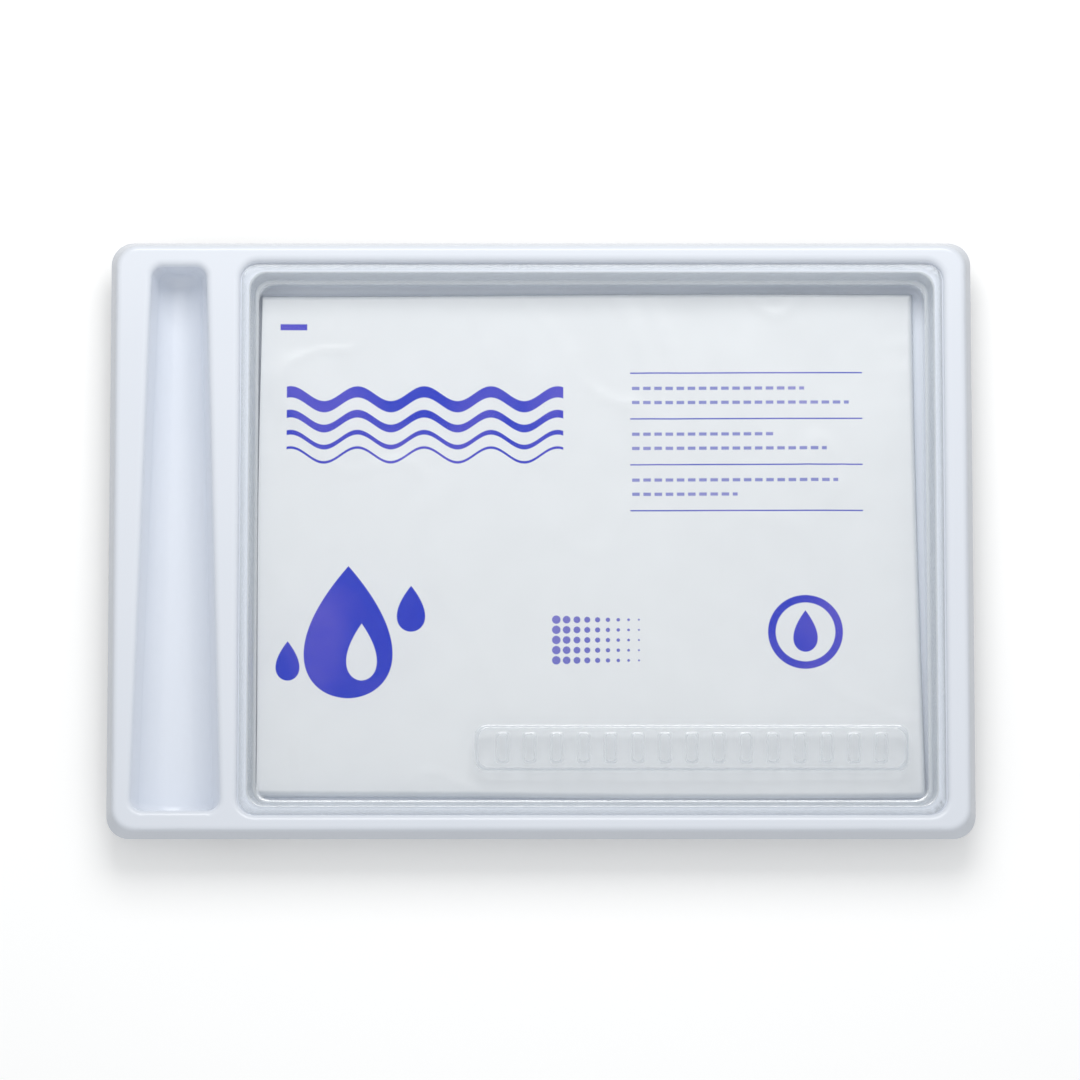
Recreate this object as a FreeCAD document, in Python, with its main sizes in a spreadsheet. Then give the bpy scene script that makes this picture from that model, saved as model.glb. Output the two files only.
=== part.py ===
import FreeCAD, Part
import math
import os
import Sketcher

# A wet palette: a shallow tray formed from one white sheet, with a tapered brush trough on the
# left and a large well on the right. A clear plug lid closes the well. In the well lies a printed
# film bag of refills: blotting sheets that hold water and thin membrane sheets to mix paint on.
# X runs along the tray to the right, Y away from the user and Z up from the table.

doc = FreeCAD.newDocument("wet_palette")
dims = doc.addObject("Spreadsheet::Sheet", "dims")

BLOTTER_COUNT = 3
MEMBRANE_COUNT = 12

DRIVING_SIZES = {
    # the tray: a formed sheet with a short flared lip below its rim
    "tray_length": 385.0,
    "tray_width": 270.0,
    "tray_height": 25.0,
    "tray_wall": 1.0,
    "lip_flare": 3.0,
    "lip_drop": 8.0,
    "tray_corner_round": 11.0,
    "rim_round": 2.8,
    "rim_edge_round": 3.0,
    # the rim round the well, from the lip's edge: the left side is wide enough for the trough
    "trough_band": 58.0,
    "end_rim": 12.5,
    "side_rim": 10.0,
    # the well and the ledge inside its rim that the lid sits on
    "well_corner_round": 8.0,
    "well_draft": 9.0,
    "floor_round": 3.0,
    "ledge_width": 4.0,
    "ledge_depth": 4.0,
    # the brush trough, narrow at the far end, and the rim left round it
    "trough_end_rim": 12.0,
    "trough_outer_rim": 10.0,
    "trough_inner_rim": 7.0,
    "trough_taper": 16.0,
    "trough_lean": 3.0,
    "trough_end_round": 5.0,
    # the lid: a thin clear sheet that plugs into the well
    "lid_wall": 0.5,
    "lid_gap": 0.6,
    "plug_gap": 0.7,
    "plug_depth": 8.0,
    "plug_draft": 14.0,
    "plug_floor_round": 2.2,
    # the raised strip of plain grip bars on the lid, set in from the well's right and near sides
    "strip_inset_x": 16.5,
    "strip_inset_y": 21.0,
    "strip_end_rim": 10.0,
    "strip_side_rim": 4.0,
    "strip_rise": 0.8,
    "strip_corner_round": 5.0,
    "bar_length": 13.0,
    "bar_width": 5.0,
    "bar_end_flat": 0.5,
    "bar_rise": 0.5,
    "bar_pitch": 12.0,
    "bar_count": 15,
    # the refill bag, open at its left end, on the flat of the well's floor
    "bag_room": 0.5,
    "bag_margin": 3.0,
    "bag_film": 0.1,
    # the sheets in the bag
    "sheet_inset": 4.0,
    "blotter_thickness": 0.6,
    "membrane_thickness": 0.08,
    "sheet_gap": 0.05,
    "bag_clearance": 0.15,
}

# Sizes, places and levels that follow from the driving sizes
DERIVED_SIZES = {
    "table_level": "0",
    "lip_level": "tray_height - lip_drop",
    "lip_angle": "atan(lip_flare / lip_drop)",
    "hollow_top": "tray_height - tray_wall",
    "well_length": "tray_length - trough_band - end_rim",
    "well_width": "tray_width - 2 * side_rim",
    "well_centre_x": "(trough_band - end_rim) / 2",
    "ledge_level": "tray_height - ledge_depth",
    "ledge_under": "ledge_level - tray_wall",
    "well_inner_length": "well_length - 2 * ledge_width",
    "well_inner_width": "well_width - 2 * ledge_width",
    "trough_length": "tray_width - 2 * trough_end_rim",
    "trough_near_width": "trough_band - trough_outer_rim - trough_inner_rim",
    "trough_far_width": "trough_near_width - trough_taper",
    "trough_near_round": "trough_near_width / 2 - trough_lean",
    "trough_far_round": "trough_far_width / 2 - trough_lean",
    "trough_centre_x": "trough_outer_rim + trough_near_width / 2 - tray_length / 2",
    "flange_top": "ledge_level + lid_wall",
    "plug_length": "well_inner_length - 2 * plug_gap",
    "plug_width": "well_inner_width - 2 * plug_gap",
    "panel_under": "ledge_level - plug_depth",
    "panel_top": "panel_under + lid_wall",
    "strip_length": "bar_pitch * (bar_count - 1) + bar_width + 2 * strip_end_rim",
    "strip_width": "bar_length + 2 * strip_side_rim",
    "strip_centre_x": "well_centre_x + well_length / 2 - strip_inset_x - strip_length / 2",
    "strip_centre_y": "strip_inset_y + strip_width / 2 - well_width / 2",
    "strip_top": "panel_top + strip_rise",
    "strip_hollow_top": "panel_under + strip_rise",
    "bar_top": "strip_top + bar_rise",
    "floor_inset": "tan(well_draft) * (ledge_level - tray_wall) + floor_round",
    "bag_length": "well_inner_length - 2 * (floor_inset + bag_room)",
    "bag_width": "well_inner_width - 2 * (floor_inset + bag_room)",
    "stack_height": (
        f"{BLOTTER_COUNT} * blotter_thickness + {MEMBRANE_COUNT} * membrane_thickness"
        f" + {BLOTTER_COUNT + MEMBRANE_COUNT - 1} * sheet_gap"
    ),
    "bag_half": "stack_height / 2 + bag_clearance + bag_film",
    "bag_middle": "tray_wall + bag_half",
    "bag_angle": "atan(bag_margin / bag_half)",
    "sheet_length": "bag_length - 2 * sheet_inset",
    "sheet_width": "bag_width - 2 * sheet_inset",
    "blotter_level": "tray_wall + bag_film + bag_clearance",
    "membrane_level": f"blotter_level + {BLOTTER_COUNT} * (blotter_thickness + sheet_gap)",
}

cells = {alias: str(value) for alias, value in DRIVING_SIZES.items()}
cells.update({alias: f"={formula}" for alias, formula in DERIVED_SIZES.items()})
for row, alias in enumerate(cells, start=1):
    dims.set(f"A{row}", alias)
    dims.setAlias(f"B{row}", alias)
for row, content in enumerate(cells.values(), start=1):
    dims.set(f"B{row}", content)
doc.recompute()

# How near two levels or places are when they count as the same
TOUCH = 1e-4


def size(alias):
    """A size from the sheet as a plain number."""
    return float(dims.get(alias))


def new_body(label):
    body = doc.addObject("PartDesign::Body", label)
    body.Label = label
    return body


def origin_plane(body, role):
    return next(feature for feature in body.Origin.OriginFeatures if feature.Role == role)


def bind(thing, path, expression):
    thing.setExpression(path, expression)


def attach(body, name, role, level):
    """An empty sketch on one of the body's origin planes, moved along its normal to a level."""
    sketch = body.newObject("Sketcher::SketchObject", name)
    sketch.AttachmentSupport = [(origin_plane(body, role), "")]
    sketch.MapMode = "FlatFace"
    bind(sketch, "AttachmentOffset.Base.z", level)
    return sketch


def dimension(sketch, kind, name, first, second, expression):
    """A driving constraint from one point to another, bound to an expression."""
    index = sketch.addConstraint(Sketcher.Constraint(kind, *first, *second, 1.0))
    sketch.renameConstraint(index, name)
    bind(sketch, f"Constraints.{name}", expression)


def rectangle(body, name, level, length, width, centre_x="0", centre_y="0"):
    """A level rectangle whose sides and middle are bound to expressions."""
    sketch = attach(body, name, "XY_Plane", level)
    reach = size("tray_length")
    corners = [(-reach, -reach), (reach, -reach), (reach, reach), (-reach, reach)]
    points = [FreeCAD.Vector(x, y, 0) for x, y in corners]
    for index in range(4):
        sketch.addGeometry(Part.LineSegment(points[index], points[(index + 1) % 4]))
    for index in range(4):
        sketch.addConstraint(Sketcher.Constraint("Coincident", index, 2, (index + 1) % 4, 1))
    for index, kind in enumerate(("Horizontal", "Vertical", "Horizontal", "Vertical")):
        sketch.addConstraint(Sketcher.Constraint(kind, index))
    origin = (-1, 1)
    dimension(sketch, "DistanceX", "right", origin, (0, 2), f"{centre_x} + ({length}) / 2")
    dimension(sketch, "DistanceY", "far", origin, (1, 2), f"{centre_y} + ({width}) / 2")
    dimension(sketch, "DistanceX", "length", (0, 1), (0, 2), length)
    dimension(sketch, "DistanceY", "width", (1, 1), (1, 2), width)
    doc.recompute()
    return sketch


def extrude(body, kind, name, sketch, length, up, taper="0"):
    """A pad or pocket from a level sketch, upwards or downwards, that narrows as it goes."""
    before = body.Shape.Volume if body.Tip else 0.0
    feature = body.newObject(f"PartDesign::{kind}", name)
    feature.Profile = sketch
    feature.Reversed = (not up) if kind == "Pad" else up
    bind(feature, "Length", length)
    bind(feature, "TaperAngle", f"-1 * ({taper})")
    doc.recompute()
    grew = body.Shape.Volume > before + TOUCH
    shrank = body.Shape.Volume < before - TOUCH
    if not (grew if kind == "Pad" else shrank):
        raise RuntimeError(f"{name} changed nothing")
    return feature


def round_edges(body, name, radius, chosen):
    """A fillet on the edges of the body's last shape for which chosen(edge) is true."""
    doc.recompute()
    base = body.Tip
    names = [f"Edge{n}" for n, edge in enumerate(base.Shape.Edges, start=1) if chosen(edge)]
    fillet = body.newObject("PartDesign::Fillet", name)
    fillet.Base = (base, names)
    bind(fillet, "Radius", radius)
    doc.recompute()
    return fillet


def spans(low, high):
    """A test for edges that run from one of the sheet's levels to another."""
    bottom, top = size(low), size(high)
    return lambda edge: abs(edge.BoundBox.ZMin - bottom) < TOUCH and abs(edge.BoundBox.ZMax - top) < TOUCH


def level(height):
    return spans(height, height)


def all_of(*tests):
    return lambda edge: all(test(edge) for test in tests)


def within(reach_x, reach_y):
    """A test for edges that stay inside a rectangle about the tray's middle."""

    def inside(edge):
        box = edge.BoundBox
        return max(-box.XMin, box.XMax) < reach_x and max(-box.YMin, box.YMax) < reach_y

    return inside


# The tray
tray = new_body("tray")

# Rim and flared lip: a block that narrows upwards, hollowed from below to one sheet's thickness
lip_outline = rectangle(tray, "lip_outline", "dims.lip_level", "dims.tray_length", "dims.tray_width")
extrude(tray, "Pad", "rim_block", lip_outline, "dims.lip_drop", True, "dims.lip_angle")
hollow_outline = rectangle(
    tray,
    "hollow_outline",
    "dims.lip_level",
    "dims.tray_length - 2 * dims.tray_wall / cos(dims.lip_angle)",
    "dims.tray_width - 2 * dims.tray_wall / cos(dims.lip_angle)",
)
extrude(tray, "Pocket", "hollow", hollow_outline, "dims.lip_drop - dims.tray_wall", True, "dims.lip_angle")
HOLLOW_CORNER = "dims.tray_corner_round - dims.tray_wall"
round_edges(tray, "hollow_corners", HOLLOW_CORNER, spans("lip_level", "hollow_top"))
round_edges(tray, "hollow_shoulder", "dims.rim_round - dims.tray_wall", level("hollow_top"))
round_edges(tray, "rim_corners", "dims.tray_corner_round", spans("lip_level", "tray_height"))
round_edges(tray, "rim_shoulder", "dims.rim_round", level("tray_height"))

# The ledge and the well: a block for their underside, cut to one sheet's thickness from above.
# Every corner is rounded on the inside first, so that the sheet stays whole.
ledge_skin = rectangle(
    tray,
    "ledge_skin",
    "dims.tray_height",
    "dims.well_length + 2 * dims.tray_wall",
    "dims.well_width + 2 * dims.tray_wall",
    "dims.well_centre_x",
)
extrude(tray, "Pad", "ledge_block", ledge_skin, "dims.ledge_depth + dims.tray_wall", False)
well_skin = rectangle(
    tray,
    "well_skin",
    "dims.ledge_level",
    "dims.well_inner_length + 2 * dims.tray_wall",
    "dims.well_inner_width + 2 * dims.tray_wall",
    "dims.well_centre_x",
)
extrude(tray, "Pad", "well_block", well_skin, "dims.ledge_level", False, "dims.well_draft")
ledge_outline = rectangle(
    tray, "ledge_outline", "dims.tray_height", "dims.well_length", "dims.well_width", "dims.well_centre_x"
)
extrude(tray, "Pocket", "ledge", ledge_outline, "dims.ledge_depth", False)
well_outline = rectangle(
    tray,
    "well_outline",
    "dims.ledge_level",
    "dims.well_inner_length",
    "dims.well_inner_width",
    "dims.well_centre_x",
)
extrude(tray, "Pocket", "well", well_outline, "dims.ledge_level - dims.tray_wall", False, "dims.well_draft")
WELL_OUTER_CORNER = "dims.well_corner_round + dims.tray_wall"
round_edges(tray, "ledge_corners", "dims.well_corner_round", spans("ledge_level", "tray_height"))
round_edges(tray, "well_corners", "dims.well_corner_round", spans("tray_wall", "ledge_level"))
round_edges(tray, "well_floor", "dims.floor_round", level("tray_wall"))
round_edges(tray, "ledge_block_corners", WELL_OUTER_CORNER, spans("ledge_under", "hollow_top"))
round_edges(tray, "well_block_corners", WELL_OUTER_CORNER, spans("table_level", "ledge_under"))
round_edges(tray, "well_block_floor", "dims.floor_round + dims.tray_wall", level("table_level"))


def trough_profile(name, side, end, thickness):
    """A closed U across the trough's near or far end: straight sides that run into a round bottom."""
    half = f"(dims.trough_{end}_width / 2 + {thickness})"
    radius = f"(dims.trough_{end}_round + {thickness})"
    sketch = attach(tray, name, "XZ_Plane", f"{-side} * (dims.trough_length / 2 + {thickness})")
    bind(sketch, "AttachmentOffset.Base.x", "dims.trough_centre_x")
    skin = 0.0 if thickness == "0" else size("tray_wall")
    rim_now = size("tray_height")
    half_now = size(f"trough_{end}_width") / 2 + skin
    radius_now = size(f"trough_{end}_round") + skin
    centre_now = size("tray_wall") - skin + radius_now
    rise = rim_now - centre_now
    lean = math.atan2(half_now, rise) - math.acos(radius_now / math.hypot(half_now, rise))
    right = FreeCAD.Vector(half_now, rim_now, 0)
    left = FreeCAD.Vector(-half_now, rim_now, 0)
    foot_x = radius_now * math.cos(lean)
    foot_y = centre_now - radius_now * math.sin(lean)
    right_foot = FreeCAD.Vector(foot_x, foot_y, 0)
    left_foot = FreeCAD.Vector(-foot_x, foot_y, 0)
    lowest = FreeCAD.Vector(0, centre_now - radius_now, 0)
    top, right_side, left_side, bottom = 0, 1, 2, 3
    sketch.addGeometry(Part.LineSegment(left, right))
    sketch.addGeometry(Part.LineSegment(right, right_foot))
    sketch.addGeometry(Part.LineSegment(left_foot, left))
    sketch.addGeometry(Part.Arc(left_foot, lowest, right_foot))
    sketch.addConstraint(Sketcher.Constraint("Coincident", top, 2, right_side, 1))
    sketch.addConstraint(Sketcher.Constraint("Coincident", left_side, 2, top, 1))
    sketch.addConstraint(Sketcher.Constraint("Tangent", bottom, 1, left_side, 1))
    sketch.addConstraint(Sketcher.Constraint("Tangent", bottom, 2, right_side, 2))
    sketch.addConstraint(Sketcher.Constraint("Horizontal", top))
    sketch.addConstraint(Sketcher.Constraint("PointOnObject", bottom, 3, -2))
    radius_index = sketch.addConstraint(Sketcher.Constraint("Radius", bottom, radius_now))
    sketch.renameConstraint(radius_index, "bottom_round")
    bind(sketch, "Constraints.bottom_round", radius)
    origin = (-1, 1)
    dimension(sketch, "DistanceY", "middle", origin, (bottom, 3), f"dims.tray_wall - {thickness} + {radius}")
    dimension(sketch, "DistanceX", "half_right", origin, (top, 2), half)
    dimension(sketch, "DistanceX", "half_left", (top, 1), origin, half)
    dimension(sketch, "DistanceY", "rim", origin, (top, 2), "dims.tray_height")
    doc.recompute()
    return sketch


def trough_loft(kind, name, thickness):
    """The trough's long tapered form, added with a wall round it or cut to its inside."""
    far_end = trough_profile(f"{name}_far", 1, "far", thickness)
    near_end = trough_profile(f"{name}_near", -1, "near", thickness)
    before = tray.Shape.Volume
    loft = tray.newObject(f"PartDesign::{kind}", name)
    loft.Profile = far_end
    loft.Sections = [near_end]
    loft.Ruled = True
    doc.recompute()
    if abs(tray.Shape.Volume - before) < TOUCH:
        raise RuntimeError(f"{name} changed nothing")


def trough_ends(thickness):
    """A test for the edges where the trough's end walls meet its sides and bottom."""
    end_y = size("trough_length") / 2 + thickness
    right = size("trough_centre_x") + size("trough_near_width") / 2 + thickness
    below = size("lip_level")

    def on_end(edge):
        box = edge.BoundBox
        flat = abs(box.YMin - box.YMax) < TOUCH and abs(abs(box.YMin) - end_y) < TOUCH
        return flat and box.XMax < right + TOUCH and box.ZMin < below

    return on_end


trough_loft("AdditiveLoft", "trough_block", "dims.tray_wall")
trough_loft("SubtractiveLoft", "trough", "0")
round_edges(tray, "trough_ends", "dims.trough_end_round", trough_ends(0))
round_edges(
    tray, "trough_block_ends", "dims.trough_end_round + dims.tray_wall", trough_ends(size("tray_wall"))
)

# Soft edges where the rim turns down into the ledge and the trough
flat_reach_x = size("tray_length") / 2 - size("lip_flare") - size("rim_round") - TOUCH
flat_reach_y = size("tray_width") / 2 - size("lip_flare") - size("rim_round") - TOUCH
round_edges(
    tray, "rim_edges", "dims.rim_edge_round", all_of(level("tray_height"), within(flat_reach_x, flat_reach_y))
)

# The lid: a flange on the ledge, a plug that follows the well's wall and a flat panel
lid = new_body("lid")
flange_outline = rectangle(
    lid,
    "flange_outline",
    "dims.ledge_level",
    "dims.well_length - 2 * dims.lid_gap",
    "dims.well_width - 2 * dims.lid_gap",
    "dims.well_centre_x",
)
extrude(lid, "Pad", "flange", flange_outline, "dims.lid_wall", True)
plug_skin = rectangle(
    lid, "plug_skin", "dims.ledge_level", "dims.plug_length", "dims.plug_width", "dims.well_centre_x"
)
extrude(lid, "Pad", "plug_block", plug_skin, "dims.plug_depth", False, "dims.plug_draft")
plug_hollow = rectangle(
    lid,
    "plug_hollow",
    "dims.flange_top",
    "dims.plug_length - 2 * dims.lid_wall",
    "dims.plug_width - 2 * dims.lid_wall",
    "dims.well_centre_x",
)
extrude(lid, "Pocket", "plug", plug_hollow, "dims.plug_depth", False, "dims.plug_draft")
round_edges(lid, "plug_corners", "dims.well_corner_round - dims.lid_wall", spans("panel_top", "flange_top"))
round_edges(lid, "plug_floor", "dims.plug_floor_round", level("panel_top"))
FLANGE_CORNER = "dims.well_corner_round - dims.lid_gap"
round_edges(lid, "flange_corners", FLANGE_CORNER, spans("ledge_level", "flange_top"))
round_edges(lid, "plug_block_corners", "dims.well_corner_round", spans("panel_under", "ledge_level"))
round_edges(lid, "plug_block_floor", "dims.plug_floor_round + dims.lid_wall", level("panel_under"))

# The lid's raised strip keeps the sheet's thickness, and carries a row of plain grip bars
strip_outline = rectangle(
    lid,
    "strip_outline",
    "dims.panel_top",
    "dims.strip_length",
    "dims.strip_width",
    "dims.strip_centre_x",
    "dims.strip_centre_y",
)
extrude(lid, "Pad", "strip", strip_outline, "dims.strip_rise", True)
strip_under = rectangle(
    lid,
    "strip_under",
    "dims.panel_under",
    "dims.strip_length - 2 * dims.lid_wall",
    "dims.strip_width - 2 * dims.lid_wall",
    "dims.strip_centre_x",
    "dims.strip_centre_y",
)
extrude(lid, "Pocket", "strip_hollow", strip_under, "dims.strip_rise", True)
STRIP_HOLLOW_CORNER = "dims.strip_corner_round - dims.lid_wall"
round_edges(lid, "strip_hollow_corners", STRIP_HOLLOW_CORNER, spans("panel_under", "strip_hollow_top"))
round_edges(lid, "strip_corners", "dims.strip_corner_round", spans("panel_top", "strip_top"))
first_bar = rectangle(
    lid,
    "first_bar_outline",
    "dims.strip_top",
    "dims.bar_width",
    "dims.bar_length",
    "dims.strip_centre_x - dims.bar_pitch * (dims.bar_count - 1) / 2",
    "dims.strip_centre_y",
)
bar = extrude(lid, "Pad", "first_bar", first_bar, "dims.bar_rise", True)
bar_row = lid.newObject("PartDesign::LinearPattern", "grip_bars")
bar_row.Originals = [bar]
bar_row.Direction = (first_bar, ["H_Axis"])
bind(bar_row, "Length", "dims.bar_pitch * (dims.bar_count - 1)")
bind(bar_row, "Occurrences", "dims.bar_count")
lid.Tip = bar_row
doc.recompute()
round_edges(lid, "bar_ends", "(dims.bar_width - dims.bar_end_flat) / 2", spans("strip_top", "bar_top"))

# The refill bag: two films welded at the far, near and right sides and open at the left
bag = new_body("refill_bag")


def pillow(kind, name, margin, half_height):
    """A flat pillow about the bag's middle plane, thinning to an edge on every side."""
    outline = rectangle(
        bag,
        f"{name}_outline",
        "dims.bag_middle",
        f"dims.bag_length + dims.bag_margin - 2 * ({margin})",
        f"dims.bag_width - 2 * ({margin})",
        "dims.well_centre_x - dims.bag_margin / 2",
    )
    feature = bag.newObject(f"PartDesign::{kind}", name)
    feature.Profile = outline
    feature.SideType = "Two sides"
    for suffix in ("", "2"):
        bind(feature, f"Length{suffix}", half_height)
        bind(feature, f"TaperAngle{suffix}", "-1 * dims.bag_angle")
    doc.recompute()


pillow("Pad", "film", "0", "dims.bag_half")
solid_volume = bag.Shape.Volume
pillow("Pocket", "inside", "2 * dims.bag_film", "dims.bag_half - dims.bag_film")
if bag.Shape.Volume > solid_volume - TOUCH:
    raise RuntimeError("the bag is not hollow")
mouth_outline = rectangle(
    bag,
    "mouth_outline",
    "dims.bag_middle",
    "2 * dims.bag_margin",
    "2 * dims.bag_width",
    "dims.well_centre_x - dims.bag_length / 2 - dims.bag_margin",
)
closed_volume = bag.Shape.Volume
mouth = bag.newObject("PartDesign::Pocket", "mouth")
mouth.Profile = mouth_outline
mouth.SideType = "Symmetric"
bind(mouth, "Length", "4 * dims.bag_half")
doc.recompute()
if bag.Shape.Volume > closed_volume - TOUCH:
    raise RuntimeError("the bag has no mouth")

# The sheets, blotters below and membranes above, with a little air between them
sheets = []


def add_sheets(label, count, thickness, start):
    for number in range(1, count + 1):
        sheet = doc.addObject("Part::Box", f"{label}_{number}")
        sheet.Label = f"{label}_{number}"
        bind(sheet, "Length", "dims.sheet_length")
        bind(sheet, "Width", "dims.sheet_width")
        bind(sheet, "Height", thickness)
        bind(sheet, "Placement.Base.x", "dims.well_centre_x - dims.sheet_length / 2")
        bind(sheet, "Placement.Base.y", "-1 * dims.sheet_width / 2")
        bind(sheet, "Placement.Base.z", f"{start} + {number - 1} * ({thickness} + dims.sheet_gap)")
        sheets.append(sheet)


add_sheets("reservoir_sheet", BLOTTER_COUNT, "dims.blotter_thickness", "dims.blotter_level")
add_sheets("membrane_sheet", MEMBRANE_COUNT, "dims.membrane_thickness", "dims.membrane_level")
doc.recompute()

# Every object is sound before any file is written
failed = [item.Name for item in doc.Objects if {"Invalid", "Error"} & set(item.State)]
if failed:
    raise RuntimeError(f"failed objects: {failed}")
pieces = [tray, lid, bag] + sheets
for piece in pieces:
    shape = piece.Shape
    if shape.isNull() or not shape.isValid() or len(shape.Solids) != 1:
        raise RuntimeError(f"{piece.Label} is not one sound solid")

os.makedirs("parts", exist_ok=True)
for piece in pieces:
    piece.Shape.exportStep(f"parts/{piece.Label}.step")
    print(piece.Label, round(piece.Shape.Volume, 1), piece.Shape.optimalBoundingBox())
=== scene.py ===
import bmesh
import bpy
import math
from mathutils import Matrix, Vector, noise


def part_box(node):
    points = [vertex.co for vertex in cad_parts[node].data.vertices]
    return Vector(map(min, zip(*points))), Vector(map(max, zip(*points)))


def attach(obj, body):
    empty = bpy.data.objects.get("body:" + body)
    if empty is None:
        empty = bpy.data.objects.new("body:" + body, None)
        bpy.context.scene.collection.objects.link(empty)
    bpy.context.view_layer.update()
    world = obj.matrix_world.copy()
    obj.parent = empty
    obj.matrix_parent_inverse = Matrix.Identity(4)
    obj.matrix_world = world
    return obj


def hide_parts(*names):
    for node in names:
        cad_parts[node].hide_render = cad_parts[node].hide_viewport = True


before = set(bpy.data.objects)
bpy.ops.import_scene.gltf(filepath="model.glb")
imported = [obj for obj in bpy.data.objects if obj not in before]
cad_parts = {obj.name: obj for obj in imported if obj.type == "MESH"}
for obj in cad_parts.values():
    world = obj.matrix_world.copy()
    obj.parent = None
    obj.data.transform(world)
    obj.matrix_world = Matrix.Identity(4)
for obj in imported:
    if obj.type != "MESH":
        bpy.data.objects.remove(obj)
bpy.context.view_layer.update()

scene = bpy.context.scene
scene.view_settings.view_transform = "Standard"

# The tray is one sheet of glossy white plastic, drawn down hot over a mould. Its skin keeps a faint
# orange peel and a slow wave from the mould, and hands and brushes have dulled it a little.
TRAY_DULLED = (0.785, 0.825, 0.895, 1.0)
TRAY_WHITE = (0.81, 0.845, 0.91, 1.0)


class Shade:
    """A socket of one node tree, so that shader maths reads as plain expressions."""

    def __init__(self, tree, socket):
        self.tree = tree
        self.socket = socket

    def node(self, kind, settings=None, output=0, **values):
        """A new node with its settings, then the values or links of its sockets, i0 being the first."""
        made = self.tree.nodes.new(kind)
        for name, value in (settings or {}).items():
            setattr(made, name, value)
        for name, value in values.items():
            socket = made.inputs[int(name[1:]) if name[1:].isdigit() else name.replace("_", " ")]
            if isinstance(value, Shade):
                self.tree.links.new(value.socket, socket)
            else:
                socket.default_value = value
        return Shade(self.tree, made.outputs[output])

    def beside(self, output):
        """Another output of the node that this value comes from."""
        return Shade(self.tree, self.socket.node.outputs[output])

    def math(self, operation, other=0.0, third=0.0, clamp=False):
        settings = {"operation": operation, "use_clamp": clamp}
        return self.node("ShaderNodeMath", settings, i0=self, i1=other, i2=third)

    def __add__(self, other):
        return self.math("ADD", other)

    def __sub__(self, other):
        return self.math("SUBTRACT", other)

    def __mul__(self, other):
        return self.math("MULTIPLY", other)

    def __truediv__(self, other):
        return self.math("DIVIDE", other)

    def __rsub__(self, other):
        return self.node("ShaderNodeMath", {"operation": "SUBTRACT"}, i0=other, i1=self)

    __radd__ = __add__
    __rmul__ = __mul__

    def held(self):
        """This value, kept from 0 to 1."""
        return self.math("ADD", 0.0, clamp=True)

    def grain(self, scale, detail, roughness=0.5):
        """Noise over this place on the piece."""
        return self.node("ShaderNodeTexNoise", Vector=self, Scale=scale, Detail=detail, Roughness=roughness)

    def tint(self, first, second):
        """A colour from first to second as this value goes from 0 to 1."""
        return self.node("ShaderNodeMix", {"data_type": "RGBA"}, 2, i0=self, i6=first, i7=second)

    def show(self):
        """Makes this shader the material's surface."""
        surface = self.tree.nodes.new("ShaderNodeOutputMaterial")
        self.tree.links.new(self.socket, surface.inputs["Surface"])


def finish_of(name):
    """A new material with an empty tree, and the place on the piece to write expressions from."""
    material = bpy.data.materials.new(name)
    material.use_nodes = True
    tree = material.node_tree
    tree.nodes.clear()
    return material, Shade(tree, tree.nodes.new("ShaderNodeTexCoord").outputs["Object"])


def wear(piece, *finishes):
    """Gives a CAD node or a new piece its finishes."""
    piece.data.materials.clear()
    for finish in finishes:
        piece.data.materials.append(finish)


white_sheet, spot = finish_of("white_tray_sheet")
cloud = spot.grain(scale=14.0, detail=3.0)
peel = spot.grain(scale=500.0, detail=0.0)
mould_wave = spot.grain(scale=24.0, detail=1.0)
relief = spot.node("ShaderNodeBump", Height=peel * 0.06 + mould_wave, Strength=0.1, Distance=0.0005)
spot.node(
    "ShaderNodeBsdfPrincipled",
    Base_Color=cloud.tint(TRAY_DULLED, TRAY_WHITE),
    Roughness=cloud * 0.06 + mould_wave * 0.03 + 0.16,
    Normal=relief,
    IOR=1.5,
).show()
wear(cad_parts["tray"], white_sheet)

# Three sheets of thick white blotting paper lie at the bottom of the bag. They hold the water, so
# the paper is soft and woolly, with loose fibres pressed flat and edges from a guillotine.
BLOTTERS = 3
MEMBRANES = 12
SHEET_GRID = (36, 44)
SHEET_SLIP = 0.0004
WAVE_HEIGHT = 0.00022
WAVE_TURN, WAVE_START = 38.0, 0.6
WAVE_REACH = 0.10
BLOTTER_FIBRE = (0.84, 0.84, 0.82, 1.0)
BLOTTER_WHITE = (0.94, 0.94, 0.93, 1.0)


def sheet_wave(y):
    """How far the stack lifts across its width. It is even along the length, so sheets can slide."""
    wave = 1.0 + math.sin(y * WAVE_TURN + WAVE_START)
    return WAVE_HEIGHT * wave * math.exp(-((y / WAVE_REACH) ** 4))


def keep_cut_edges(shape):
    """Edges that a knife left stay sharp under smooth faces."""
    for edge in shape.edges:
        edge.smooth = not edge.is_boundary


def piece_of(name, shape):
    """A new piece with smooth faces from a bmesh, which is then let go."""
    for face in shape.faces:
        face.smooth = True
    mesh = bpy.data.meshes.new(name)
    shape.to_mesh(mesh)
    shape.free()
    piece = bpy.data.objects.new(name, mesh)
    scene.collection.objects.link(piece)
    return piece


def thicken(piece, thickness, offset):
    """Gives sheet its thickness: inwards at -1, to both sides at 0, outwards at 1."""
    wall = piece.modifiers.new("thickness", "SOLIDIFY")
    wall.thickness = thickness
    wall.offset = offset


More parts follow.
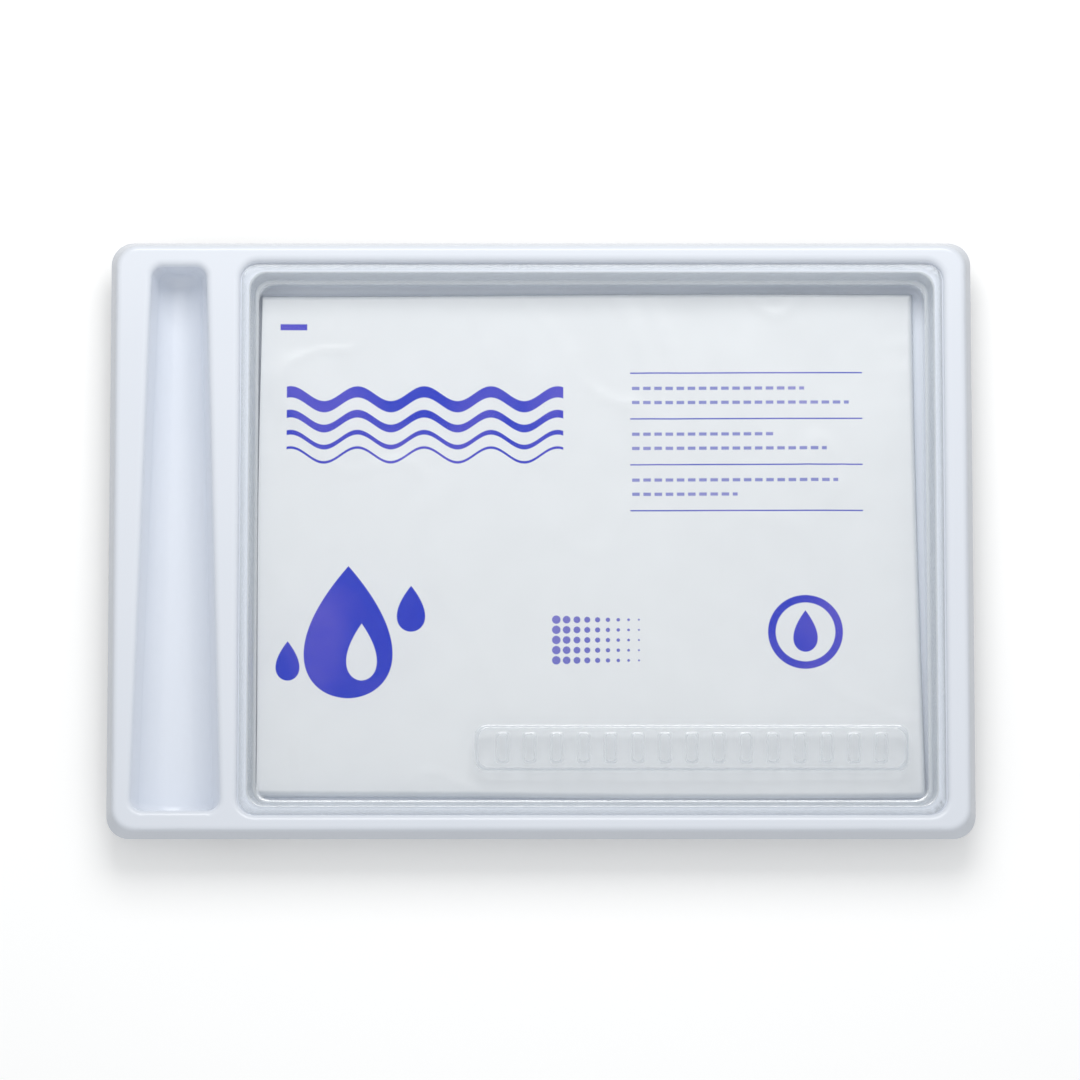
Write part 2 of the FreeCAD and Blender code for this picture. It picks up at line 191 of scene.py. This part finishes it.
def lay_sheet(node, number, body, finish):
    """One cut sheet in the place of its CAD node, a hair out of line with the next one."""
    low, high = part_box(node)
    length, width = high.x - low.x, high.y - low.y
    sheet = bmesh.new()
    bmesh.ops.create_grid(sheet, x_segments=SHEET_GRID[0], y_segments=SHEET_GRID[1], size=0.5)
    bmesh.ops.scale(sheet, vec=(length, width, 1.0), verts=sheet.verts)
    slip_x = math.sin(number * 2.3) * SHEET_SLIP - SHEET_SLIP
    slip_y = math.sin(number * 3.7 + 1.0) * SHEET_SLIP
    middle = (low + high) / 2 + Vector((slip_x, slip_y, 0.0))
    bmesh.ops.translate(sheet, vec=middle, verts=sheet.verts)
    share = (number - 0.5) / (BLOTTERS + MEMBRANES)
    for vert in sheet.verts:
        vert.co.z += share * sheet_wave(vert.co.y)
    keep_cut_edges(sheet)
    piece = piece_of(f"paper_{node}", sheet)
    thicken(piece, high.z - low.z, 0.0)
    wear(piece, finish)
    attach(piece, body)
    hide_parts(node)


blotting, spot = finish_of("blotting_paper")
drawn_out = spot.node("ShaderNodeMapping", Vector=spot, Scale=(900.0, 240.0, 900.0))
fibres = drawn_out.grain(scale=1.0, detail=4.0, roughness=0.65)
clumps = spot.grain(scale=260.0, detail=3.0)
wool = fibres * 0.6 + clumps * 0.4
spot.node(
    "ShaderNodeBsdfPrincipled",
    Base_Color=wool.tint(BLOTTER_FIBRE, BLOTTER_WHITE),
    Roughness=0.95,
    Normal=spot.node("ShaderNodeBump", Height=wool, Strength=0.5, Distance=0.0002),
    IOR=1.4,
).show()
for number in range(1, BLOTTERS + 1):
    lay_sheet(f"reservoir_sheet_{number}", number, "reservoir_sheets", blotting)

# Twelve thin membrane sheets lie on the blotters, the kind of parchment that lets damp through but
# not paint. They are smooth, slightly cloudy to the light and have a faint waxy sheen.
MEMBRANE_CLOUD = (0.86, 0.865, 0.86, 1.0)
MEMBRANE_WHITE = (0.92, 0.92, 0.91, 1.0)

parchment, spot = finish_of("membrane_paper")
cloudy = spot.grain(scale=120.0, detail=5.0, roughness=0.6)
haze = spot.grain(scale=18.0, detail=2.0)
spot.node(
    "ShaderNodeBsdfPrincipled",
    Base_Color=(cloudy * 0.6 + haze * 0.4).tint(MEMBRANE_CLOUD, MEMBRANE_WHITE),
    Roughness=cloudy * 0.15 + 0.5,
    Normal=spot.node("ShaderNodeBump", Height=cloudy, Strength=0.15, Distance=0.0001),
    IOR=1.45,
).show()
for number in range(1, MEMBRANES + 1):
    lay_sheet(
        f"membrane_sheet_{number}", number + BLOTTERS, "membrane_sheets", parchment
    )

# The refill bag is a limp pouch of thin milky film, welded along its far, near and right sides and
# open at the left. Trapped air lifts it off the paper here and there. It is printed in blue ink
# with drops, waves and plain rules.
BAG_LOW, BAG_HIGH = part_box("refill_bag")
STACK_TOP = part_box(f"membrane_sheet_{MEMBRANES}")[1].z
STACK_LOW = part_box("reservoir_sheet_1")[0].z
FILM_THICKNESS = 0.00008
FILM_GRID = (128, 104)
HALF_LENGTH, HALF_WIDTH = 0.1465, 0.1143
MOUTH, LOWER_MOUTH, RIGHT_END = -0.1252, -0.1240, 0.1669
MOUTH_SLANT, RIGHT_SLANT = 0.0018, 0.0045
MOUTH_WAVE, SIDE_WAVE = 0.0005, 0.0006
WELD_LEVEL = (STACK_TOP + STACK_LOW) / 2
WELD_REACH = 0.0013
WELD_PUCKER = 0.00012
PUCKER_RIGHT, PUCKER_SIDES = 0.010, 0.008
ABOVE_PAPER, ABOVE_FLOOR = 0.00012, 0.00016
AIR_LEAST, AIR_SWELL, AIR_RIPPLE, AIR_NEAR, AIR_CREASE = 0.0003, 0.0014, 0.0003, 0.0005, 0.0004
MOUTH_LIFT, MOUTH_REACH = 0.0016, 0.007


def bag_outline(along, across):
    """A place in the bag's flat outline, both from -1 to 1: a wavy mouth and a slanting right end."""
    nearer = (1 - across) / 2
    mouth = MOUTH - MOUTH_SLANT * nearer - MOUTH_WAVE * math.sin(2.6 * across + 0.9)
    right = RIGHT_END + RIGHT_SLANT * nearer**1.6
    x = mouth + (right - mouth) * (along + 1) / 2
    y = across * (BAG_HIGH.y - BAG_LOW.y) / 2 - 0.0001
    y += SIDE_WAVE * math.sin(along * 2.4 + 0.5) * across
    return x, y


def spread(step):
    """Grid lines closer together towards the welds."""
    return 0.55 * step + 0.45 * math.sin(step * math.pi / 2)


def trapped_air(x, y):
    """How far trapped air lifts the upper film off the paper, and the creases that cross it."""
    swell = noise.noise(Vector((x * 8.0, y * 9.0, 1.7))) + 0.35
    ripple = noise.noise(Vector((x * 34.0 + y * 12.0, y * 30.0, 4.2)))
    fold = abs(noise.noise(Vector((x * 20.0 + y * 9.0, y * 13.0 - x * 6.0, 8.3))))
    crease = max(0.0, 1.0 - fold / 0.07) ** 2
    near = max(0.0, min(1.0, (0.05 - y) / 0.12))
    lift = AIR_SWELL * max(0.0, swell) + AIR_RIPPLE * ripple + AIR_CREASE * crease
    return lift + AIR_NEAR * near + AIR_LEAST


def pucker(x, y, from_right, from_sides):
    """The gathers, up or down, that hot welding leaves along the right end and the two sides."""
    right = math.sin(y * 430.0 + 5.0 * noise.noise(Vector((0.0, y * 40.0, 0.0))))
    sides = math.sin(x * 380.0 + 5.0 * noise.noise(Vector((x * 40.0, 0.0, 3.0))))
    return right * math.exp(-from_right / PUCKER_RIGHT) + sides * math.exp(-from_sides / PUCKER_SIDES)


def upper_level(x, y, from_mouth, from_right, from_sides, across):
    """The height of the upper film, which lies on the paper and gapes a little at the mouth."""
    gape = MOUTH_LIFT * math.exp(-from_mouth / MOUTH_REACH) * (1.0 - 0.5 * across)
    gathers = WELD_PUCKER * pucker(x, y, from_right, from_sides)
    return STACK_TOP + ABOVE_PAPER + sheet_wave(y) + trapped_air(x, y) + gape + gathers


def lower_level(*place):
    """The height of the lower film, which lies flat on the floor of the well."""
    return BAG_LOW.z + ABOVE_FLOOR


def lay_film(shape, level_of):
    """One film over the whole outline, brought to the weld along three of its sides."""
    weld_mark = shape.verts.layers.float["weld"]
    laid = bmesh.ops.create_grid(shape, x_segments=FILM_GRID[0], y_segments=FILM_GRID[1], size=1.0)
    for vert in laid["verts"]:
        along, across = spread(vert.co.x), spread(vert.co.y)
        x, y = bag_outline(along, across)
        from_mouth, from_right = (along + 1) * HALF_LENGTH, (1 - along) * HALF_LENGTH
        from_sides = (1 - abs(across)) * HALF_WIDTH
        inside = min(1.0, min(from_right, from_sides) / WELD_REACH)
        full = level_of(x, y, from_mouth, from_right, from_sides, across)
        vert.co = (x, y, WELD_LEVEL + (full - WELD_LEVEL) * inside**0.5)
        vert[weld_mark] = 1.0 - inside
    return laid["verts"]


film = bmesh.new()
film.verts.layers.float.new("weld")
lay_film(film, upper_level)
lower_verts = lay_film(film, lower_level)
lower_faces = list(dict.fromkeys(face for vert in lower_verts for face in vert.link_faces))
lower_edges = list(dict.fromkeys(edge for face in lower_faces for edge in face.edges))
bmesh.ops.reverse_faces(film, faces=lower_faces)
for face in lower_faces:
    face.material_index = 1
bmesh.ops.bisect_plane(
    film,
    geom=lower_verts + lower_edges + lower_faces,
    plane_co=(LOWER_MOUTH, 0.0, 0.0),
    plane_no=(-1.0, 0.0, 0.0),
    clear_outer=True,
)
bmesh.ops.remove_doubles(film, verts=film.verts, dist=1e-6)
keep_cut_edges(film)
pouch = piece_of("film_pouch", film)
thicken(pouch, FILM_THICKNESS, 1.0)

# The print on the bag's upper film, in millimetres from the middle of the tray. It is laid down in
# one blue ink that varies a little in depth.
PRINT_EDGE = 0.35
LARGE_DROP, DROP_SHINE = (-86.0, -70.0, 20.0, 60.0), (-80.0, -62.0, 7.0, 26.0)
SMALL_DROPS = ((-113.0, -62.0, 5.5, 18.0), (-58.0, -40.0, 6.5, 21.0), (118.0, -49.0, 5.6, 19.0))
DROP_FULLNESS = 2.6
WAVE_LINES = ((66.0, 2.6), (56.0, 1.8), (47.5, 1.1), (40.5, 0.6))
WAVES_MIDDLE, WAVES_HALF = -52.0, 62.0
RULES = (78.0, 57.0, 36.0, 15.0)
RULES_MIDDLE, RULES_HALF, RULE_HALF = 92.0, 52.0, 0.28
DASH_ROWS = ((71.0, 118.0), (64.5, 138.0), (50.0, 104.0), (43.5, 128.0), (29.0, 133.0), (22.5, 88.0))
DASH_START, DASH_PITCH, DASH_LENGTH, DASH_HEIGHT = 40.0, 5.0, 3.4, 1.5
DOT_PITCH, DOT_RADIUS, DOT_FADE = 4.6, 2.1, 0.04
DOTS_LEFT, DOTS_FIELD = 2.0, (25.3, -43.7, 20.7, 11.5)
RING_X, RING_Y, RING_RADIUS, RING_HALF = 118.0, -40.0, 15.0, 1.7
TAB = (-111.0, 99.0, 6.0, 1.4)
INK_DEEP = (0.004, 0.028, 0.56, 1.0)
INK_LIGHT = (0.095, 0.08, 0.61, 1.0)
FILM_MILK = (0.935, 0.955, 0.975, 1.0)
FILM_CLEAR = (0.995, 0.997, 0.998, 1.0)
LOWER_MILK = (0.88, 0.90, 0.92, 1.0)
LOWER_WHITE = (0.92, 0.93, 0.94, 1.0)

printed_film, spot = finish_of("printed_bag_film")
from_middle = spot.node("ShaderNodeSeparateXYZ", Vector=spot)
print_x = from_middle * 1000.0
print_y = from_middle.beside("Y") * 1000.0


def inked(depth):
    """A mask from how deep a place lies inside a shape, with a soft printed edge."""
    return (depth / PRINT_EDGE).math("ADD", 0.5, clamp=True)


def band(value, middle, half):
    return inked(half - (value - middle).math("ABSOLUTE"))


def block(middle_x, middle_y, half_x, half_y):
    return band(print_x, middle_x, half_x) * band(print_y, middle_y, half_y)


def drop(middle, foot, half, height):
    """A water drop with its tip upwards. DROP_FULLNESS makes half its true half width."""
    up = ((print_y - foot) / height).held()
    width = up.math("POWER", 0.5) * (1.0 - up) * (half * DROP_FULLNESS)
    return ((width - (print_x - middle).math("ABSOLUTE")) / PRINT_EDGE).held()


def over_clear(gloss, cover, clear):
    """Sheet that is clear where cover is 0 and shows its own gloss and colour where cover is 1."""
    see_through = gloss.node("ShaderNodeBsdfTransparent", Color=clear)
    return gloss.node("ShaderNodeMixShader", i0=cover, i1=see_through, i2=gloss)


motifs = [drop(*LARGE_DROP) * (1.0 - drop(*DROP_SHINE))]
motifs += [drop(*small) for small in SMALL_DROPS]
ripples = (print_x * 0.21).math("SINE") * 3.4
for level, half in WAVE_LINES:
    stroke = inked(half - (print_y - level - ripples).math("ABSOLUTE"))
    motifs.append(stroke * band(print_x, WAVES_MIDDLE, WAVES_HALF))
motifs += [block(RULES_MIDDLE, level, RULES_HALF, RULE_HALF) for level in RULES]
dashes = band(print_x.math("WRAP", DASH_PITCH, 0.0), DASH_PITCH / 2, DASH_LENGTH / 2)
for level, end in DASH_ROWS:
    row = block((end + DASH_START) / 2, level, (end - DASH_START) / 2, DASH_HEIGHT / 2)
    motifs.append(dashes * row * 0.7)
dot_x = print_x.math("WRAP", DOT_PITCH, 0.0) - DOT_PITCH / 2
dot_y = print_y.math("WRAP", DOT_PITCH, 0.0) - DOT_PITCH / 2
dot_radius = DOT_RADIUS - (print_x - DOTS_LEFT) * DOT_FADE
dots = inked(dot_radius - (dot_x * dot_x + dot_y * dot_y).math("SQRT"))
motifs.append(dots * block(*DOTS_FIELD) * 0.85)
ring_x, ring_y = print_x - RING_X, print_y - RING_Y
motifs.append(band((ring_x * ring_x + ring_y * ring_y).math("SQRT"), RING_RADIUS, RING_HALF))
motifs.append(block(*TAB))
print_mask = motifs[0]
for motif in motifs[1:]:
    print_mask = print_mask.math("MAXIMUM", motif)

ink_cloud = spot.grain(scale=20.0, detail=2.0)
ink = ((ink_cloud - 0.42) * 4.0).held().tint(INK_DEEP, INK_LIGHT)
milk = spot.grain(scale=60.0, detail=4.0)
weld = spot.node("ShaderNodeAttribute", {"attribute_name": "weld"}, output=2)
drag = spot.node("ShaderNodeMapping", Vector=spot, Scale=(30.0, 260.0, 30.0))
streaks = drag.grain(scale=1.0, detail=1.0)
film_gloss = spot.node(
    "ShaderNodeBsdfPrincipled",
    Base_Color=print_mask.tint(FILM_MILK, ink),
    Roughness=milk * 0.08 + 0.17,
    Specular_IOR_Level=0.4,
    Normal=spot.node("ShaderNodeBump", Height=streaks, Strength=0.1, Distance=0.0004),
    IOR=1.5,
)
cover = (milk * 0.08 + 0.82 + weld * 0.08).math("MAXIMUM", print_mask * 0.97)
over_clear(film_gloss, cover, FILM_CLEAR).show()

plain_film, spot = finish_of("plain_bag_film")
milk = spot.grain(scale=60.0, detail=4.0)
film_gloss = spot.node(
    "ShaderNodeBsdfPrincipled",
    Base_Color=milk.tint(LOWER_MILK, LOWER_WHITE),
    Roughness=milk * 0.08 + 0.17,
    IOR=1.5,
)
over_clear(film_gloss, milk * 0.08 + 0.82, FILM_CLEAR).show()
wear(pouch, printed_film, plain_film)
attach(pouch, "refill_bag")
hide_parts("refill_bag")

# The lid is a thin clear sheet, formed with a plug that drops into the well and a flange that sits
# on the ledge. A raised strip of plain bars gives the fingers some grip.
LID_LOW, LID_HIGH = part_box("lid")
LID_WALL = 0.0005
FLANGE_CORNER = 0.0074
FLANGE_WIDTH = 0.0042
PLUG_SLOPE = math.pi / 2 - math.radians(14.0)
SHOULDER = 0.0011
PANEL_ROUND = 0.0022
PANEL_LEVEL = LID_LOW.z + LID_WALL
STRIP_LOW, STRIP_HIGH = Vector((-0.0295, -0.104)), Vector((0.1635, -0.083))
STRIP_CORNER = 0.005
STRIP_ROUND = 0.00112
BAR_LENGTH, BAR_WIDTH = 0.0142, 0.0062
BAR_CORNER = 0.0016
BAR_ROUND = 0.0007
BAR_PITCH = 0.012
BAR_COUNT = 15
RAISED_SLOPE = math.radians(50)
# Greys of the lid's glossy part. They are painted shade, set grey so that the bends and edge-on walls show
# as darker lines, as light bent away by clear plastic would leave them.
LID_PAINTED_SHADE_DARK = (0.66, 0.71, 0.76, 1.0)
LID_PAINTED_SHADE_PALE = (0.74, 0.78, 0.82, 1.0)
LID_CLEAR = (0.997, 0.999, 1.0, 1.0)


def rounded_plate(sheet, low, high, level, corner, segments):
    """A flat face with round corners."""
    made = bmesh.ops.create_grid(sheet, x_segments=1, y_segments=1, size=0.5)["verts"]
    bmesh.ops.scale(sheet, vec=(high[0] - low[0], high[1] - low[1], 1.0), verts=made)
    middle = ((low[0] + high[0]) / 2, (low[1] + high[1]) / 2, level)
    bmesh.ops.translate(sheet, vec=middle, verts=made)
    rounded = bmesh.ops.bevel(
        sheet,
        geom=made,
        offset=corner,
        offset_type="OFFSET",
        segments=segments,
        profile=0.5,
        affect="VERTICES",
        material=-1,
    )["verts"]
    return rounded[0].link_faces[0]


def draw_in(sheet, face, inward, rise):
    """Draws the middle of the sheet in from its edge on every side and up or down, corners kept."""
    middle = face.calc_center_bounds()
    moved = bmesh.ops.extrude_face_region(sheet, geom=[face])["geom"]
    if face.is_valid:
        bmesh.ops.delete(sheet, geom=[face], context="FACES_ONLY")
    for vert in (part for part in moved if isinstance(part, bmesh.types.BMVert)):
        vert.co.x -= math.copysign(inward, vert.co.x - middle.x)
        vert.co.y -= math.copysign(inward, vert.co.y - middle.y)
        vert.co.z += rise
    return next(part for part in moved if isinstance(part, bmesh.types.BMFace))


def turn(sheet, face, radius, start, end, steps, way):
    """A rounded bend in the sheet, from one slope to another, going up at 1 and down at -1."""
    for step in range(steps):
        first = start + (end - start) * step / steps
        second = start + (end - start) * (step + 1) / steps
        face = draw_in(
            sheet,
            face,
            abs(radius * (math.sin(second) - math.sin(first))),
            way * abs(radius * (math.cos(second) - math.cos(first))),
        )
    return face


def raise_up(sheet, face, radius):
    """Raises a flat face out of the sheet on a slope with two bends."""
    face = turn(sheet, face, radius, 0.0, RAISED_SLOPE, 3, 1)
    return turn(sheet, face, radius, RAISED_SLOPE, 0.0, 3, 1)


def fill_level(sheet, edges):
    """Fills a level part of the sheet between its outer edge and what stands on it."""
    bmesh.ops.triangle_fill(sheet, edges=edges, use_beauty=True, use_dissolve=False, normal=(0, 0, 1))


def set_in_order(parts, place_of):
    """Sorts vertices, edges or faces by their places, so that each run gives the same mesh."""
    rank = {part: number for number, part in enumerate(sorted(parts, key=place_of))}
    parts.sort(key=rank.get)


formed = bmesh.new()
panel = rounded_plate(formed, LID_LOW, LID_HIGH, LID_HIGH.z, FLANGE_CORNER, 10)
panel = draw_in(formed, panel, FLANGE_WIDTH - SHOULDER, 0.0)
panel = turn(formed, panel, SHOULDER, 0.0, PLUG_SLOPE, 4, -1)
bend_drop = (SHOULDER + PANEL_ROUND) * (1 - math.cos(PLUG_SLOPE))
wall_drop = LID_HIGH.z - PANEL_LEVEL - bend_drop
panel = draw_in(formed, panel, wall_drop / math.tan(PLUG_SLOPE), -wall_drop)
panel = turn(formed, panel, PANEL_ROUND, PLUG_SLOPE, 0.0, 5, -1)
panel_edges = list(panel.edges)
bmesh.ops.delete(formed, geom=[panel], context="FACES_ONLY")

strip = rounded_plate(formed, STRIP_LOW, STRIP_HIGH, PANEL_LEVEL, STRIP_CORNER, 6)
panel_edges += list(strip.edges)
strip = raise_up(formed, strip, STRIP_ROUND)
strip_top = strip.calc_center_bounds().z
strip_edges = list(strip.edges)
bmesh.ops.delete(formed, geom=[strip], context="FACES_ONLY")
fill_level(formed, panel_edges)

strip_middle = (STRIP_LOW + STRIP_HIGH) / 2
for number in range(BAR_COUNT):
    bar_x = strip_middle.x + (number - (BAR_COUNT - 1) / 2) * BAR_PITCH
    low = (bar_x - BAR_WIDTH / 2, strip_middle.y - BAR_LENGTH / 2)
    high = (bar_x + BAR_WIDTH / 2, strip_middle.y + BAR_LENGTH / 2)
    grip = rounded_plate(formed, low, high, strip_top, BAR_CORNER, 4)
    strip_edges += list(grip.edges)
    raise_up(formed, grip, BAR_ROUND)
fill_level(formed, strip_edges)
set_in_order(formed.verts, lambda vert: vert.co[:])
set_in_order(formed.edges, lambda edge: sorted(vert.co[:] for vert in edge.verts))
set_in_order(formed.faces, lambda face: face.calc_center_median()[:])
bmesh.ops.recalc_face_normals(formed, faces=formed.faces)
clear_lid = piece_of("clear_lid", formed)
thicken(clear_lid, LID_WALL, -1.0)
clear_lid.modifiers.new("flat_panels", "WEIGHTED_NORMAL").keep_sharp = True

clear_sheet, spot = finish_of("clear_lid_sheet")
edge_on = spot.node("ShaderNodeLayerWeight", output=1, Blend=0.5)
facing = spot.node("ShaderNodeNewGeometry", output=1)
upright = spot.node("ShaderNodeSeparateXYZ", output=2, Vector=facing).math("ABSOLUTE")
tilt = 1.0 - upright
# Where the sheet bends, the grey, glossy part is mixed in. Its gloss catches the real lamp, and its grey is
# painted shade for the dark lines at the bends.
bend = (tilt / 0.05).held().math("POWER", 0.5)
bend_gloss_and_painted_shade = bend * (1.0 - tilt) * 0.6
sag = spot.grain(scale=16.0, detail=1.0)
rub = spot.grain(scale=180.0, detail=3.0, roughness=0.6)
lid_gloss = spot.node(
    "ShaderNodeBsdfPrincipled",
    Base_Color=rub.tint(LID_PAINTED_SHADE_DARK, LID_PAINTED_SHADE_PALE),
    Roughness=rub * 0.08 + 0.03,
    Normal=spot.node("ShaderNodeBump", Height=sag, Strength=0.2, Distance=0.003),
    IOR=2.4,
)
# How much of the grey, glossy part shows over the clear one: real gloss edge-on and at the bends, with
# painted shade in its grey.
shine = edge_on.math("POWER", 3.0) * 0.5 + bend_gloss_and_painted_shade + rub * 0.012 + 0.006
over_clear(lid_gloss, shine, LID_CLEAR).show()
wear(clear_lid, clear_sheet)
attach(clear_lid, "lid")
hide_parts("lid")

# The table is a plain white sheet, matt and far wider than the tray. To the camera it is white and
# keeps the tray's shadow, and it throws less light than that up under the lip.
TABLE_SIZE = 12.0
TABLE_WHITE = (0.95, 0.95, 0.945, 1.0)
TABLE_DIM = (0.35, 0.35, 0.345, 1.0)
TABLE_GLOW = 0.20
PURE_WHITE = (1.0, 1.0, 1.0, 1.0)


def looked_at(tree):
    """1 for rays that show a thing, straight, in a mirror or through glass, and 0 for the rest."""
    camera_ray = Shade(tree, tree.nodes.new("ShaderNodeLightPath").outputs["Is Camera Ray"])
    mirrored = camera_ray.math("MAXIMUM", camera_ray.beside("Is Glossy Ray"))
    return mirrored.math("MAXIMUM", camera_ray.beside("Is Transmission Ray"))


bpy.ops.mesh.primitive_plane_add(size=TABLE_SIZE)
table = bpy.context.object
table.name = "table"
white_table, spot = finish_of("white_table")
dull = spot.node("ShaderNodeBsdfDiffuse", Color=TABLE_WHITE)
glow = spot.node("ShaderNodeEmission", Color=PURE_WHITE, Strength=TABLE_GLOW)
bright = spot.node("ShaderNodeAddShader", i0=dull, i1=glow)
dim = spot.node("ShaderNodeBsdfDiffuse", Color=TABLE_DIM)
spot.node("ShaderNodeMixShader", i0=looked_at(spot.tree), i1=dim, i2=bright).show()
wear(table, white_table)

# Soft studio light: a pale room that is brighter overhead and towards the near side, and one soft box
# beyond the far side of the tray. What is seen of the room itself is white.
ROOM_PALE = (0.97, 0.985, 1.0, 1.0)
ROOM_LEVEL, ROOM_OVERHEAD, ROOM_NEAR = 0.245, 0.44, 0.4
SOFT_BOX_PLACE = Vector((0.02, 0.58, 0.75))

studio = bpy.data.worlds.new("studio")
scene.world = studio
studio.use_nodes = True
tree = studio.node_tree
tree.nodes.clear()
way = Shade(tree, tree.nodes.new("ShaderNodeTexCoord").outputs["Generated"])
height = way.node("ShaderNodeSeparateXYZ", output=2, Vector=way)
overhead = height.math("MAXIMUM", 0.0)
nearness = (0.0 - height.beside("Y")).math("MAXIMUM", 0.0)
level = overhead * ROOM_OVERHEAD + nearness * ROOM_NEAR + ROOM_LEVEL
room = way.node("ShaderNodeBackground", Color=ROOM_PALE, Strength=level)
white_sky = way.node("ShaderNodeBackground", Color=PURE_WHITE, Strength=1.0)
sky = way.node("ShaderNodeMixShader", i0=looked_at(tree), i1=room, i2=white_sky)
tree.links.new(sky.socket, tree.nodes.new("ShaderNodeOutputWorld").inputs["Surface"])

soft_box = bpy.data.lights.new("soft_box", "AREA")
soft_box.shape = "RECTANGLE"
soft_box.size = 0.7
soft_box.size_y = 0.5
soft_box.energy = 4.3
soft_box.color = (1.0, 0.995, 0.985)
box_place = bpy.data.objects.new("soft_box", soft_box)
box_place.location = SOFT_BOX_PLACE
box_place.rotation_euler = (-SOFT_BOX_PLACE).to_track_quat("-Z", "Y").to_euler()
scene.collection.objects.link(box_place)

# The camera looks steeply down from the near side through a long lens, so that the tray's sides run
# almost parallel. FRAME_WIDTH is what it takes in at the height of the rim.
TILT = math.radians(10.5)
DISTANCE = 3.6
FRAME_WIDTH = 0.4802
AIM = Vector((-0.00044, -0.00181, 0.025))

lens = bpy.data.cameras.new("camera")
lens.sensor_width = 36.0
lens.lens = lens.sensor_width * DISTANCE / FRAME_WIDTH
lens.clip_end = 50.0
camera = bpy.data.objects.new("camera", lens)
camera.location = AIM + DISTANCE * Vector((0.0, -math.sin(TILT), math.cos(TILT)))
camera.rotation_euler = (TILT, 0.0, 0.0)
scene.collection.objects.link(camera)
scene.camera = camera
